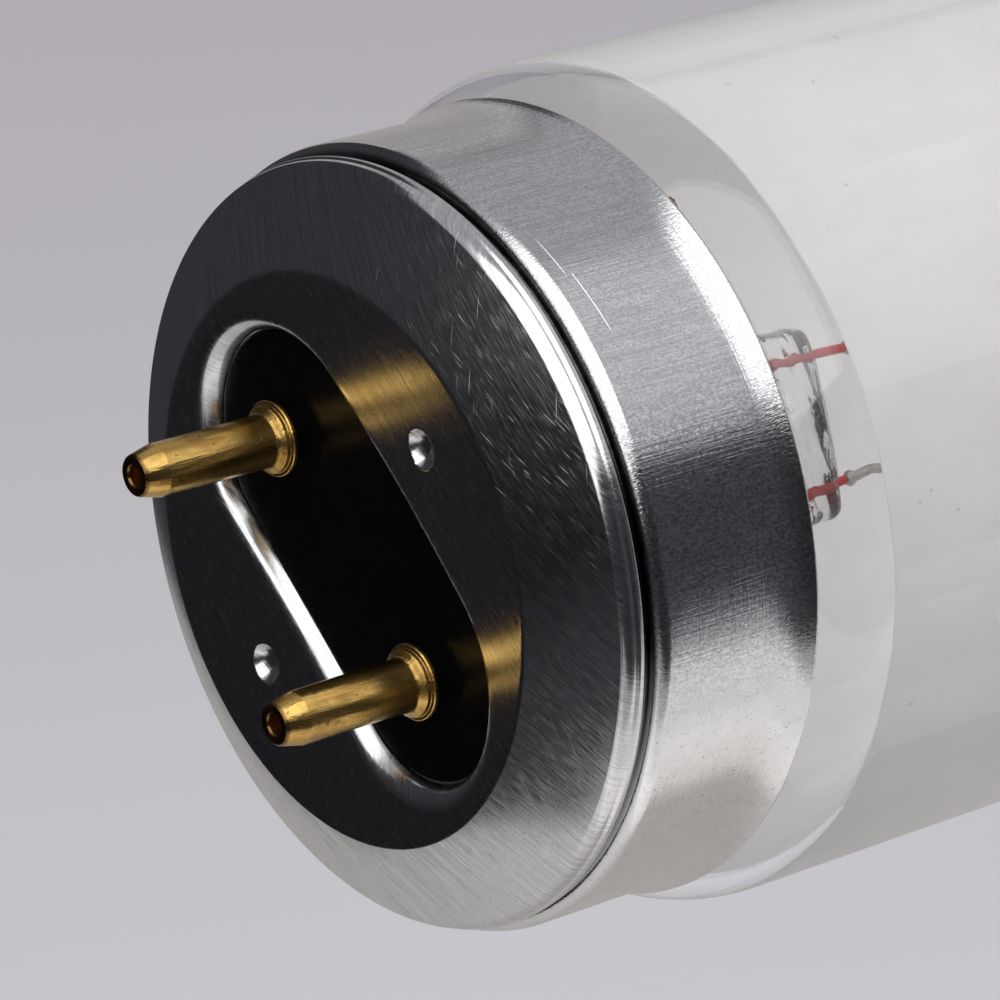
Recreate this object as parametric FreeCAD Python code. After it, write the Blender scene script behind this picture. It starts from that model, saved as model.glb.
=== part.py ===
import FreeCAD, Part
import math
import os

# Driving dimensions in millimetres. A depth counts inwards from the crest of an end cap's face.
face_to_face = 589.8
tube_diameter = 38.0
glass_wall = 0.85
neck_blend = 1.5
tube_blend = 5.0
shoulder_angle = 46.0
coat_thickness = 0.08
shoulder_lead = 0.45

cap_sheet = 0.3
cap_length = 11.65
skirt_inset = 1.55
rim_flare = 0.5
flare_length = 2.9
step_width = 0.45
step_depth = 3.35
step_bevel = 0.7
groove_depth = 0.35
groove_run = 0.5
shoulder_radius = 0.8
shoulder_depth = 2.15
crest_diameter = 25.3
dish_angle = 3.8

dish_margin = 1.7
hole_width = 10.3
lip_bevel = 0.55
lip_depth = 1.4
dimple_diameter = 1.75
dimple_sheet = 0.22
dimple_offset = 8.7

insulator_depth = 1.1
insulator_thickness = 1.4
insulator_gap = 0.12
insulator_rim = 1.6
seat_diameter = 3.1
seat_height = 0.65

pin_pitch = 12.7
pin_diameter = 2.35
pin_projection = 7.0
pin_tip_diameter = 1.8
pin_taper = 1.1
pin_hole = 0.72
shank_diameter = 2.1
collar_diameter = 3.4
collar_height = 0.3
collar_cone = 0.2
rivet_diameter = 3.2
rivet_height = 0.45

cement_thickness = 0.2
stem_diameter = 8.6
stem_wall = 0.8
stem_bend = 3.0
exhaust_diameter = 3.2
exhaust_wall = 0.7
press_width = 9.0
press_thickness = 3.2
press_end = 27.5
press_length = 4.4
press_turn = 33.4

lead_spacing = 6.06
seal_lead_diameter = 0.35
inner_lead_diameter = 0.5
weld_diameter = 0.8
weld_length = 0.85
short_seal = 0.9
long_seal = 2.9
clamp_width = 0.9
clamp_length = 1.3
coil_depth = 41.0
coil_span = 10.0
coil_length = 6.4
coil_diameter = 1.1
coil_wire = 0.26
coil_turns = 7

# A blend is made of flats that turn by about this many degrees each.
blend_flat = 30.0

# Values that follow from the ones above.
tube_radius = tube_diameter / 2
bore_radius = tube_radius - glass_wall
skirt_radius = tube_radius - skirt_inset
rim_radius = skirt_radius + rim_flare
wall_radius = skirt_radius - step_width
crest_radius = crest_diameter / 2
neck_radius = skirt_radius - cap_sheet - cement_thickness
neck_end = step_depth + 1.5
hole_radius = hole_width / 2
hole_reach = crest_radius - dish_margin
dish_slope = math.tan(math.radians(dish_angle))
insulator_back = lip_depth + insulator_thickness
pin_radius = pin_diameter / 2
lead_reach = lead_spacing / 2
press_start = press_end - press_length
stem_radius = stem_diameter / 2
well_end = press_start - 2.0
seat_front = insulator_depth - seat_height

os.makedirs("parts", exist_ok=True)


def vec(depth, radius):
    return FreeCAD.Vector(depth, 0, radius)


def around(depth, angle, reach):
    """A point at a depth, turned about the tube's axis from the line through the pins."""
    turn = math.radians(angle)
    return FreeCAD.Vector(depth, reach * math.cos(turn), reach * math.sin(turn))


def rounded(points):
    """Corners of an open path of (depth, radius, blend) points, with each blend cut into short flats."""
    path = [vec(points[0][0], points[0][1])]
    for before, here, after in zip(points, points[1:], points[2:]):
        corner = vec(here[0], here[1])
        blend = here[2]
        if blend > 0:
            back = (vec(before[0], before[1]) - corner).normalize()
            ahead = (vec(after[0], after[1]) - corner).normalize()
            half = back.getAngle(ahead) / 2
            inward = (back + ahead).normalize()
            across = (ahead - back).normalize()
            centre = corner + inward * (blend / math.sin(half))
            turn = math.pi - 2 * half
            flats = max(1, round(math.degrees(turn) / blend_flat))
            for number in range(flats + 1):
                lean = turn * (number / flats - 0.5)
                path.append(centre - inward * (blend * math.cos(lean)) + across * (blend * math.sin(lean)))
        else:
            path.append(corner)
    path.append(vec(points[-1][0], points[-1][1]))
    return path


def beside(points, gap):
    """The same path moved sideways, so that a wall keeps one thickness round its bends."""
    lines = []
    for first, second in zip(points, points[1:]):
        run = (vec(second[0], second[1]) - vec(first[0], first[1])).normalize()
        lines.append((vec(first[0], first[1]) + vec(run.z, -run.x) * gap, run))
    moved = [(lines[0][0].x, lines[0][0].z, 0)]
    for (base, run), (other, turn), here in zip(lines, lines[1:], points[1:]):
        bend = run.x * turn.z - run.z * turn.x
        away = other - base
        meet = base + run * ((away.x * turn.z - away.z * turn.x) / bend)
        blend = here[2] + gap if bend > 0 else here[2] - gap
        moved.append((meet.x, meet.z, max(blend, 0) if here[2] > 0 else 0))
    last = vec(points[-1][0], points[-1][1]) + vec(lines[-1][1].z, -lines[-1][1].x) * gap
    moved.append((last.x, last.z, 0))
    return moved


def turned(path):
    """A solid turned about the tube's axis from a closed path of points."""
    face = Part.Face(Part.makePolygon(path + path[:1]))
    return face.revolve(FreeCAD.Vector(0, 0, 0), FreeCAD.Vector(1, 0, 0), 360)


def oblong(reach, half, start, end):
    """A block with rounded ends along the line of the pins, between two depths."""
    left = -(reach - half)
    right = reach - half
    corners = [FreeCAD.Vector(start, left, half), FreeCAD.Vector(start, right, half),
               FreeCAD.Vector(start, right, -half), FreeCAD.Vector(start, left, -half)]
    tips = [FreeCAD.Vector(start, reach, 0), FreeCAD.Vector(start, -reach, 0)]
    outline = [Part.LineSegment(corners[0], corners[1]).toShape(),
               Part.Arc(corners[1], tips[0], corners[2]).toShape(),
               Part.LineSegment(corners[2], corners[3]).toShape(),
               Part.Arc(corners[3], tips[1], corners[0]).toShape()]
    return Part.Face(Part.Wire(outline)).extrude(FreeCAD.Vector(end - start, 0, 0))


def rim_edges(shape, reach, half, deepest):
    """The edges that a hole of that oblong leaves in the front of a shape."""
    found = []
    for edge in shape.Edges:
        points = edge.discretize(5)
        gaps = [math.hypot(max(abs(p.y) - (reach - half), 0), p.z) - half for p in points]
        if max(abs(gap) for gap in gaps) < 1e-4 and max(p.x for p in points) < deepest:
            found.append(edge)
    return found


def rod(start, end, radius):
    """A round bar between two points."""
    return Part.makeCylinder(radius, (end - start).Length, start, end - start)


def strand(*stops):
    """A thin six-sided wire through (point, diameter) stops, cut square to the tube's axis at each."""
    rings = []
    for point, diameter in stops:
        corners = [point + around(0, 60 * number, diameter / 2) for number in range(6)]
        rings.append(Part.makePolygon(corners + corners[:1]))
    return Part.makeLoft(rings, True, True)


def block(middle, length, width):
    """A square bar along the line of the leads, given its middle."""
    bar = Part.makeBox(width, length, width, FreeCAD.Vector(-width / 2, -length / 2, -width / 2))
    bar.rotate(vec(0, 0), vec(1, 0), press_turn)
    return bar.translated(middle)


def pinched(start, end, thick, thin):
    """A wedge that narrows from one thickness to another along the stem."""
    outline = [vec(start, -thick / 2), vec(start, thick / 2), vec(end, thin / 2), vec(end, -thin / 2)]
    side = FreeCAD.Vector(0, press_width, 0)
    return Part.Face(Part.makePolygon(outline + outline[:1])).extrude(side).translated(side * -0.5)


def dish(radius):
    return (crest_radius - radius) * dish_slope


# The glass tube: straight, with a rounded shoulder and a narrower neck under each cap.
half_turn = math.tan(math.radians(shoulder_angle) / 2)
shoulder_run = (tube_radius - neck_radius) / math.tan(math.radians(shoulder_angle))
shoulder_foot = cap_length - shoulder_lead
shoulder_top = shoulder_foot + shoulder_run
coat_start = shoulder_top + tube_blend * half_turn
one_end = [(neck_end, neck_radius, 0), (shoulder_foot, neck_radius, neck_blend),
           (shoulder_top, tube_radius, tube_blend)]
other_end = [(face_to_face - depth, radius, blend) for depth, radius, blend in reversed(one_end)]
envelope = one_end + other_end
glass_tube = turned(rounded(envelope) + rounded(beside(envelope, glass_wall))[::-1])

# The white coat inside the tube. It stops short of each cap and leaves a clear band of glass.
coat = rod(vec(coat_start, 0), vec(face_to_face - coat_start, 0), bore_radius)
coat_bore = rod(vec(0, 0), vec(face_to_face, 0), bore_radius - coat_thickness)
phosphor_coating = coat.cut(coat_bore)

# The cap's dish, ring, groove and skirt, drawn from one sheet. Its bends are sharp on the inside.
sheet_depth = cap_sheet / math.cos(math.radians(dish_angle))
ring = [(dish(0), 0, 0), (0, crest_radius, 0),
        (shoulder_depth, wall_radius, shoulder_radius), (step_depth - groove_run, wall_radius, 0),
        (step_depth, wall_radius - groove_depth, 0)]
corner = [(step_depth, skirt_radius, 0)]
bevel = [(step_depth, skirt_radius, step_bevel)]
skirt = [(cap_length - flare_length, skirt_radius, 0), (cap_length, rim_radius, 0)]
lining = [vec(depth, radius) for depth, radius, blend in beside(ring + corner + skirt, cap_sheet)]
lining[0] = vec(dish(0) + sheet_depth, 0)
cap = turned(rounded(ring + bevel + skirt) + lining[::-1])

# The oblong hole in the dish has a lip that is turned inwards.
lip = turned([vec(dish(0), 0), vec(0, crest_radius), vec(lip_depth, crest_radius), vec(lip_depth, 0)])
lip = lip.common(oblong(hole_reach + cap_sheet, hole_radius + cap_sheet, -1, lip_depth))
cap = cap.fuse(lip).cut(oblong(hole_reach, hole_radius, -1, lip_depth + 1))
cap = cap.makeChamfer(lip_bevel, rim_edges(cap, hole_reach, hole_radius, lip_depth - 0.01))

# Two dimples are punched in the dish, one on each side of the hole, until they bear on the insulator.
punch = dimple_diameter / 2
bulge_start = dish(dimple_offset) + cap_sheet / 2
for side in (-1, 1):
    middle = FreeCAD.Vector(0, 0, side * dimple_offset)
    bulge = rod(middle + vec(bulge_start, 0), middle + vec(lip_depth, 0), punch + dimple_sheet)
    hollow = rod(middle, middle + vec(lip_depth - dimple_sheet, 0), punch)
    cap = cap.fuse(bulge).cut(hollow)
cap = cap.removeSplitter()

# The insulator: a round plate behind the lip, with an oblong boss in the hole and a raised seat for each pin.
boss = oblong(hole_reach - insulator_gap, hole_radius - insulator_gap, insulator_depth, lip_depth + 0.1)
plate = rod(vec(lip_depth, 0), vec(insulator_back, 0), hole_reach + insulator_rim)
insulator = plate.fuse(boss)
for side in (-1, 1):
    middle = around(0, 0, side * pin_pitch / 2)
    seat = rod(middle + vec(seat_front, 0), middle + vec(insulator_depth + 0.1, 0), seat_diameter / 2)
    shank = rod(middle, middle + vec(insulator_back + 1, 0), shank_diameter / 2)
    insulator = insulator.fuse(seat).cut(shank)
insulator = insulator.removeSplitter()

# A hollow contact pin, on its own axis. Its shank is riveted over behind the insulator.
collar_front = seat_front - collar_height
tip = -pin_projection
contact_pin = turned([vec(tip, pin_hole / 2),
                      vec(tip, pin_tip_diameter / 2),
                      vec(tip + pin_taper, pin_radius),
                      vec(collar_front - collar_cone, pin_radius),
                      vec(collar_front, collar_diameter / 2),
                      vec(seat_front, collar_diameter / 2),
                      vec(seat_front, shank_diameter / 2),
                      vec(insulator_back, shank_diameter / 2),
                      vec(insulator_back, rivet_diameter / 2),
                      vec(insulator_back + rivet_height, pin_hole / 2)])

# The cement that holds the cap fills the gap between its skirt and the neck of the tube.
cement_start = vec(neck_end + 0.9, 0)
cement_end = vec(cap_length - flare_length - 0.3, 0)
cement = rod(cement_start, cement_end, neck_radius + cement_thickness)
cement = cement.cut(rod(cement_start, cement_end, neck_radius))

# The stem: a flared glass tube sealed to the neck, pinched at its inner end into a flat press.
fold = press_start - 5.5
flare_front = neck_end - stem_wall
stem_bore = stem_radius - stem_wall
flare = turned([vec(flare_front, neck_radius), vec(neck_end, neck_radius),
                vec(neck_end, stem_radius + stem_bend), vec(neck_end + stem_bend, stem_radius),
                vec(fold, stem_radius), vec(fold, stem_bore),
                vec(neck_end + stem_bend - stem_wall, stem_bore),
                vec(flare_front, stem_bore + stem_bend)])
neck = rod(vec(fold, 0), vec(press_start + 0.1, 0), stem_radius)
neck = neck.common(pinched(fold, press_start + 0.1, stem_diameter, press_thickness))
well = rod(vec(fold - 1, 0), vec(well_end, 0), stem_bore)
well = well.common(pinched(fold - 1, well_end, 2 * stem_bore + 1, press_thickness * 0.4))
press = oblong(press_width / 2, press_thickness / 2, press_start, press_end)
exhaust_end = insulator_back + rivet_height + 0.6
exhaust_radius = exhaust_diameter / 2
exhaust = turned([vec(exhaust_end, 0), vec(exhaust_end + exhaust_radius, exhaust_radius),
                  vec(well_end + 0.3, exhaust_radius), vec(well_end + 0.3, 0)])
exhaust_bore = rod(vec(exhaust_end + exhaust_wall * 2, 0), vec(well_end - 0.5, 0),
                   exhaust_radius - exhaust_wall)
stem = flare.fuse(neck.cut(well)).fuse(press).fuse(exhaust).cut(exhaust_bore)
stem.rotate(vec(0, 0), vec(1, 0), press_turn)

# The parts of the lead wires, each for one side of the stem. Each seal lead is pressed into the stem.
joint = well_end - 0.5
pins = []
outer_leads = []
seal_leads = []
inner_leads = []
for side, seal_showing in ((-1, short_seal), (1, long_seal)):
    offset = side * pin_pitch / 2
    weld_depth = press_end + seal_showing
    pins.append(contact_pin.translated(around(0, 0, offset)))
    bend_start = around(insulator_back + rivet_height + 0.3, 0, offset)
    bend_end = around(neck_end + stem_bend + 1, press_turn, side * lead_reach)
    joint_point = around(joint, press_turn, side * lead_reach)
    outer_leads.append(strand((around(tip + pin_taper - 0.2, 0, offset), pin_hole), (bend_start, pin_hole),
                              (bend_end, pin_hole), (joint_point, pin_hole)))
    weld_point = around(weld_depth, press_turn, side * lead_reach)
    seal_lead = strand((joint_point, seal_lead_diameter), (weld_point, seal_lead_diameter))
    seal_leads.append(seal_lead)
    stem = stem.cut(seal_lead)
    spread_start = around(weld_depth + 3, press_turn, side * lead_reach)
    spread_end = around(coil_depth - 3, press_turn, side * coil_span / 2)
    clamp_point = around(coil_depth, press_turn, side * coil_span / 2)
    inner = strand((weld_point, inner_lead_diameter),
                   (weld_point + vec(weld_length * 0.2, 0), weld_diameter),
                   (weld_point + vec(weld_length * 0.8, 0), weld_diameter),
                   (weld_point + vec(weld_length, 0), inner_lead_diameter),
                   (spread_start, inner_lead_diameter),
                   (spread_end, inner_lead_diameter),
                   (clamp_point - vec(clamp_width * 0.4, 0), inner_lead_diameter))
    clamp = block(clamp_point, clamp_length, clamp_width)
    inner_leads.append(inner.fuse(clamp).cut(block(clamp_point, clamp_length * 2, coil_wire)))
stem = stem.removeSplitter()

# The coil of square-cut turns, with a straight leg at each end that the clamps hold.
coil_radius = (coil_diameter - coil_wire) / 2
along = around(0, press_turn, 1)
above = around(0, press_turn + 90, 1)
turns = []
for number in range(8 * coil_turns + 1):
    turn = math.tau * number / 8
    outward = vec(-math.cos(turn), 0) + above * math.sin(turn)
    middle = vec(coil_depth + coil_radius, 0) + outward * coil_radius
    middle += along * (coil_length * (number / (8 * coil_turns) - 0.5))
    half_out = outward * (coil_wire / 2)
    half_along = along * (coil_wire / 2)
    corners = [middle - half_out - half_along, middle + half_out - half_along,
               middle + half_out + half_along, middle - half_out + half_along]
    turns.append(Part.makePolygon(corners + corners[:1]))
coil = Part.makeLoft(turns, True, True)
leg_length = (coil_span + clamp_length - coil_length) / 2 + 0.3
for side in (-1, 1):
    leg_middle = around(coil_depth, press_turn, side * (coil_length + leg_length) / 2)
    coil = coil.fuse(block(leg_middle, leg_length + coil_wire, coil_wire))
coil = coil.removeSplitter()


def place(shape, end):
    """Puts a shape drawn for one end of the tube at that end, with the tube's middle at the origin."""
    placed = shape.translated(vec(-face_to_face / 2, 0))
    if end == "b":
        placed.rotate(FreeCAD.Vector(0, 0, 0), FreeCAD.Vector(0, 0, 1), 180)
    return placed


place(glass_tube, "a").exportStep("parts/glass_tube.step")
place(phosphor_coating, "a").exportStep("parts/phosphor_coating.step")
for end in ("a", "b"):
    place(cap, end).exportStep(f"parts/end_cap_{end}.step")
    place(insulator, end).exportStep(f"parts/insulator_{end}.step")
    place(cement, end).exportStep(f"parts/capping_cement_{end}.step")
    place(stem, end).exportStep(f"parts/stem_glass_{end}.step")
    place(coil, end).exportStep(f"parts/cathode_coil_{end}.step")
    for number in (1, 2):
        place(pins[number - 1], end).exportStep(f"parts/contact_pin_{end}{number}.step")
        place(outer_leads[number - 1], end).exportStep(f"parts/outer_lead_{end}{number}.step")
        place(seal_leads[number - 1], end).exportStep(f"parts/seal_lead_{end}{number}.step")
        place(inner_leads[number - 1], end).exportStep(f"parts/inner_lead_{end}{number}.step")
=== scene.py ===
import math

import bmesh
import bpy
import numpy as np
from mathutils import Matrix, Vector, noise


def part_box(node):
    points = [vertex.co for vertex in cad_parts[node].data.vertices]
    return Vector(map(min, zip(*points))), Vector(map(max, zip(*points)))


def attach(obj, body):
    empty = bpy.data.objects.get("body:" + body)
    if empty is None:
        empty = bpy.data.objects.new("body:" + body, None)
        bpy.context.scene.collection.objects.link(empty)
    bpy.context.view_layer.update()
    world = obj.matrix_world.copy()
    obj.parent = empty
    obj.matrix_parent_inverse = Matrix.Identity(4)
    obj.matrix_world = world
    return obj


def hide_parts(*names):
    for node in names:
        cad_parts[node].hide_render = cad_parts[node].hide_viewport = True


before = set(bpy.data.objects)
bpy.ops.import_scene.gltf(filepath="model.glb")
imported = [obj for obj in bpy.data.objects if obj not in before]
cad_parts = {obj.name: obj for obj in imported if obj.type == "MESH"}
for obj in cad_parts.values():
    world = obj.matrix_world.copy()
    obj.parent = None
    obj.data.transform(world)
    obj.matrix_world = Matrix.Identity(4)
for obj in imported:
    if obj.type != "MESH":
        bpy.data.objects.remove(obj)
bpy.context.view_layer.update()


# Glass tube: soda-lime tubing with a rounded shoulder and a narrower neck at each end.
# It is drawn, cut and necked down in the flame, so its bends are soft and its skin is smooth.
# Sizes below are in millimetres, and a depth counts inwards from the crest of a cap's face.
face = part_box("end_cap_a")[0][0]
face_to_face = -2000 * face
tube_radius = 19.0
glass_wall = 0.85
neck_radius = 16.95
neck_end = 4.85
coat_start = 15.3


def blended(corners, step=6.0):
    """A path through (depth, radius, blend) corners, each blend drawn as a fine arc."""
    path = [np.array(corners[0][:2], float)]
    for before, here, after in zip(corners, corners[1:], corners[2:]):
        corner = np.array(here[:2], float)
        if here[2] == 0:
            path.append(corner)
            continue
        back = np.array(before[:2], float) - corner
        ahead = np.array(after[:2], float) - corner
        back /= np.linalg.norm(back)
        ahead /= np.linalg.norm(ahead)
        half = math.acos(float(np.clip(back @ ahead, -1, 1))) / 2
        inward = (back + ahead) / np.linalg.norm(back + ahead)
        across = (ahead - back) / np.linalg.norm(ahead - back)
        centre = corner + inward * (here[2] / math.sin(half))
        turn = math.pi - 2 * half
        count = max(2, round(math.degrees(turn) / step))
        for number in range(count + 1):
            lean = turn * (number / count - 0.5)
            path.append(centre - inward * (here[2] * math.cos(lean)) + across * (here[2] * math.sin(lean)))
    path.append(np.array(corners[-1][:2], float))
    return np.array(path)


def turned(path, sides, middle=0.0):
    """Rows of points round an axis that lies along the tube, from a (depth, radius) path."""
    angles = np.arange(sides) * (math.tau / sides)
    rows = np.empty((len(path), sides, 3))
    rows[:, :, 0] = path[:, :1]
    rows[:, :, 1] = path[:, 1:] * np.cos(angles) + middle
    rows[:, :, 2] = path[:, 1:] * np.sin(angles)
    return rows


def skinned(rows, closed):
    """Points and faces of a skin over rows of points, closed on itself or with a point at each end."""
    count, sides = rows.shape[:2]
    points = rows.reshape(-1, 3)
    span = count if closed else count - 1
    first = np.arange(span)[:, None] * sides
    second = (np.arange(span)[:, None] + 1) % count * sides
    here = np.arange(sides)[None, :]
    beside = (np.arange(sides)[None, :] + 1) % sides
    faces = np.stack([first + here, first + beside, second + beside, second + here], axis=-1)
    faces = [tuple(quad) for quad in faces.reshape(-1, 4).tolist()]
    if not closed:
        for start, row in ((0, rows[0]), (len(points) - sides, rows[-1])):
            pole = len(points) + (start > 0)
            faces += [(pole, start + k, start + (k + 1) % sides) for k in range(sides)]
        points = np.vstack([points, rows[0].mean(axis=0), rows[-1].mean(axis=0)])
    return points, faces


def made(name, skins, end, material, crease=35.0):
    """One object at one end of the lamp, from skins in millimetres, with its faces turned outwards."""
    shape = bmesh.new()
    for points, faces in skins:
        placed = np.array(points) * 0.001
        placed[:, 0] += face
        if end == "b":
            placed[:, :2] *= -1
        corners = [shape.verts.new(point) for point in placed.tolist()]
        for quad in faces:
            shape.faces.new([corners[k] for k in quad])
    bmesh.ops.recalc_face_normals(shape, faces=shape.faces)
    mesh = bpy.data.meshes.new(name)
    shape.to_mesh(mesh)
    shape.free()
    mesh.shade_smooth()
    mesh.set_sharp_from_angle(angle=math.radians(crease))
    mesh.materials.append(material)
    piece = bpy.data.objects.new(name, mesh)
    bpy.context.scene.collection.objects.link(piece)
    return piece


def fitted(piece, node):
    """The finished piece rides with the lamp and stands for its solid."""
    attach(piece, "root")
    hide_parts(node)


def put(tree, kind, sockets=None, **settings):
    """A node with its settings, and with each named socket set or linked."""
    node = tree.nodes.new(kind)
    for key, value in settings.items():
        setattr(node, key, value)
    for key, value in (sockets or {}).items():
        if isinstance(value, bpy.types.NodeSocket):
            tree.links.new(value, node.inputs[key])
        else:
            node.inputs[key].default_value = value
    return node


def surfaced(name, **values):
    """A new material, with the constant values set on its shader."""
    material = bpy.data.materials.new(name)
    material.use_nodes = True
    tree = material.node_tree
    shader = tree.nodes["Principled BSDF"]
    for key, value in values.items():
        shader.inputs[key.replace("_", " ")].default_value = value
    return material, tree, shader


def grouped(name, inputs, outputs):
    """An empty shader node group with named sockets, and its two ends."""
    tree = bpy.data.node_groups.new(name, "ShaderNodeTree")
    for label, kind, value in inputs:
        socket = tree.interface.new_socket(name=label, in_out="INPUT", socket_type=kind)
        socket.default_value = value
    for label in outputs:
        tree.interface.new_socket(name=label, in_out="OUTPUT", socket_type="NodeSocketFloat")
    return tree, tree.nodes.new("NodeGroupInput"), tree.nodes.new("NodeGroupOutput")


# Marks that several finishes share: fine lines or cloudy patches, stretched as the scale says.
marks, given, result = grouped(
    "marks",
    [("Scale", "NodeSocketVector", (1000.0, 1000.0, 1000.0)), ("Turn", "NodeSocketFloat", 0.0),
     ("Detail", "NodeSocketFloat", 2.0), ("Low", "NodeSocketFloat", 0.0), ("High", "NodeSocketFloat", 1.0)],
    ["Mask"])
where = put(marks, "ShaderNodeTexCoord")
swung = put(marks, "ShaderNodeVectorRotate",
            {"Vector": where.outputs["Object"], "Angle": given.outputs["Turn"]}, rotation_type="X_AXIS")
stretched = put(marks, "ShaderNodeVectorMath", {0: swung.outputs[0], 1: given.outputs["Scale"]},
                operation="MULTIPLY")
cloud = put(marks, "ShaderNodeTexNoise", {"Vector": stretched.outputs[0], "Scale": 1.0,
                                          "Detail": given.outputs["Detail"], "Roughness": 0.6})
mask = put(marks, "ShaderNodeMapRange", {"Value": cloud.outputs["Fac"], "From Min": given.outputs["Low"],
                                         "From Max": given.outputs["High"]})
marks.links.new(mask.outputs["Result"], result.inputs["Mask"])


def marked(tree, scale, low=0.0, high=1.0, detail=2.0, turn=0.0):
    """One use of the shared marks, with its stretch (per millimetre), contrast and turn about the tube."""
    node = put(tree, "ShaderNodeGroup", node_tree=marks)
    node.inputs["Turn"].default_value = math.radians(turn)
    node.inputs["Scale"].default_value = [1000.0 * value for value in scale]
    node.inputs["Detail"].default_value = detail
    node.inputs["Low"].default_value = low
    node.inputs["High"].default_value = high
    return node.outputs["Mask"]


def blend_colours(tree, mask, first, second):
    """A colour that goes from the first to the second with the mask."""
    node = put(tree, "ShaderNodeMix", data_type="RGBA")
    tree.links.new(mask, node.inputs[0])
    for socket, value in ((node.inputs[6], first), (node.inputs[7], second)):
        if isinstance(value, bpy.types.NodeSocket):
            tree.links.new(value, socket)
        else:
            socket.default_value = value
    return node.outputs[2]


def between(tree, mask, low, high):
    """A value that goes from low to high with the mask."""
    return put(tree, "ShaderNodeMapRange", {"Value": mask, "To Min": low, "To Max": high}).outputs["Result"]


def worked(tree, shader, *layers):
    """Bump layers of (height, depth in millimetres), one over the other."""
    normal = None
    for height, depth in layers:
        node = put(tree, "ShaderNodeBump", {"Height": height, "Strength": 1.0, "Distance": 0.001 * depth})
        if normal is not None:
            tree.links.new(normal, node.inputs["Normal"])
        normal = node.outputs["Normal"]
    tree.links.new(normal, shader.inputs["Normal"])


def lets_light_in(tree, shader):
    """Lamp light reaches what lies behind the surface."""
    path = put(tree, "ShaderNodeLightPath")
    clear = put(tree, "ShaderNodeBsdfTransparent")
    both = put(tree, "ShaderNodeMixShader", {0: path.outputs["Is Shadow Ray"], 1: shader.outputs[0],
                                             2: clear.outputs[0]})
    tree.links.new(both.outputs[0], tree.nodes["Material Output"].inputs["Surface"])


tube_glass, tree, shader = surfaced("tube_glass", Base_Color=(0.99, 0.996, 0.994, 1), Roughness=0.02, IOR=1.5,
                                    Transmission_Weight=1.0)
film = marked(tree, (0.5, 0.9, 0.9), 0.45, 0.75)
tree.links.new(between(tree, film, 0.015, 0.05), shader.inputs["Roughness"])
worked(tree, shader, (marked(tree, (0.12, 0.35, 0.35), 0.0, 1.0, 1.0), 0.006))
lets_light_in(tree, shader)

half_turn = math.tan(math.radians(46) / 2)
shoulder_top = coat_start - 5.0 * half_turn
shoulder_foot = shoulder_top - (tube_radius - neck_radius) / math.tan(math.radians(46))
inset = glass_wall * half_turn
outside = [(neck_end, neck_radius, 0), (shoulder_foot, neck_radius, 1.5), (shoulder_top, tube_radius, 5.0),
           (face_to_face - shoulder_top, tube_radius, 5.0), (face_to_face - shoulder_foot, neck_radius, 1.5),
           (face_to_face - neck_end, neck_radius, 0)]
inside = [(neck_end, neck_radius - glass_wall, 0),
          (shoulder_foot + inset, neck_radius - glass_wall, 1.5 + glass_wall),
          (shoulder_top + inset, tube_radius - glass_wall, 5.0 - glass_wall),
          (face_to_face - shoulder_top - inset, tube_radius - glass_wall, 5.0 - glass_wall),
          (face_to_face - shoulder_foot - inset, neck_radius - glass_wall, 1.5 + glass_wall),
          (face_to_face - neck_end, neck_radius - glass_wall, 0)]
wall = np.vstack([blended(outside, 3.0), blended(inside, 3.0)[::-1]])
glass_tube = made("tube_shell", [skinned(turned(wall, 192), True)], "a", tube_glass)
fitted(glass_tube, "glass_tube")


# Phosphor coat: a thin layer of white powder, washed down the inside of the tube and baked on.
# It is wiped off short of each cap, and light gets through it.
phosphor, tree, shader = surfaced("phosphor_powder", Roughness=0.75, Specular_IOR_Level=0.2)
powder = marked(tree, (0.25, 0.5, 0.5), 0.35, 0.7)
grain = marked(tree, (7.0, 7.0, 7.0), 0.3, 0.7, 0.0)
specks = marked(tree, (1.6, 1.6, 1.6), 0.76, 0.79, 1.0)
white = blend_colours(tree, powder, (0.705, 0.695, 0.70, 1), (0.745, 0.735, 0.74, 1))
tree.links.new(blend_colours(tree, specks, white, (0.55, 0.53, 0.52, 1)), shader.inputs["Base Color"])
worked(tree, shader, (grain, 0.01))
through = put(tree, "ShaderNodeBsdfTranslucent", {"Color": (0.90, 0.89, 0.89, 1)})
layer = put(tree, "ShaderNodeMixShader", {0: 0.35, 1: shader.outputs[0], 2: through.outputs[0]})
lets_light_in(tree, layer)

coat_outside = tube_radius - glass_wall + 0.02
coat_inside = coat_outside - 0.08
coat = turned(np.array([(coat_start, coat_outside), (face_to_face - coat_start, coat_outside),
                        (face_to_face - coat_start, coat_inside), (coat_start, coat_inside)]), 192)
angles = np.arange(192) * (math.tau / 192)
wavy = 0.05 * np.sin(3 * angles + 0.7) + 0.03 * np.sin(11 * angles) + 0.015 * np.sin(29 * angles + 2)
for row, sign in ((0, 1), (1, -1), (2, -1), (3, 1)):
    coat[row, :, 0] += sign * wavy
phosphor_coat = made("phosphor_coat", [skinned(coat, True)], "a", phosphor)
fitted(phosphor_coat, "phosphor_coating")


# Stem: a flared lead-glass tube that is sealed to the neck, with the exhaust tube inside it.
# Its inner end is softened and pinched flat round the lead wires, which leaves folds and flow lines.
press_turn = math.radians(33.4)
stem_glass, tree, shader = surfaced("stem_glass", Base_Color=(0.96, 0.97, 0.955, 1), Roughness=0.03, IOR=1.56,
                                    Transmission_Weight=1.0)
flow = marked(tree, (0.25, 1.6, 1.6), 0.25, 0.75, 3.0)
tree.links.new(between(tree, flow, 0.02, 0.06), shader.inputs["Roughness"])
worked(tree, shader, (flow, 0.03), (marked(tree, (1.2, 0.7, 0.7)), 0.02))
lets_light_in(tree, shader)


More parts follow.
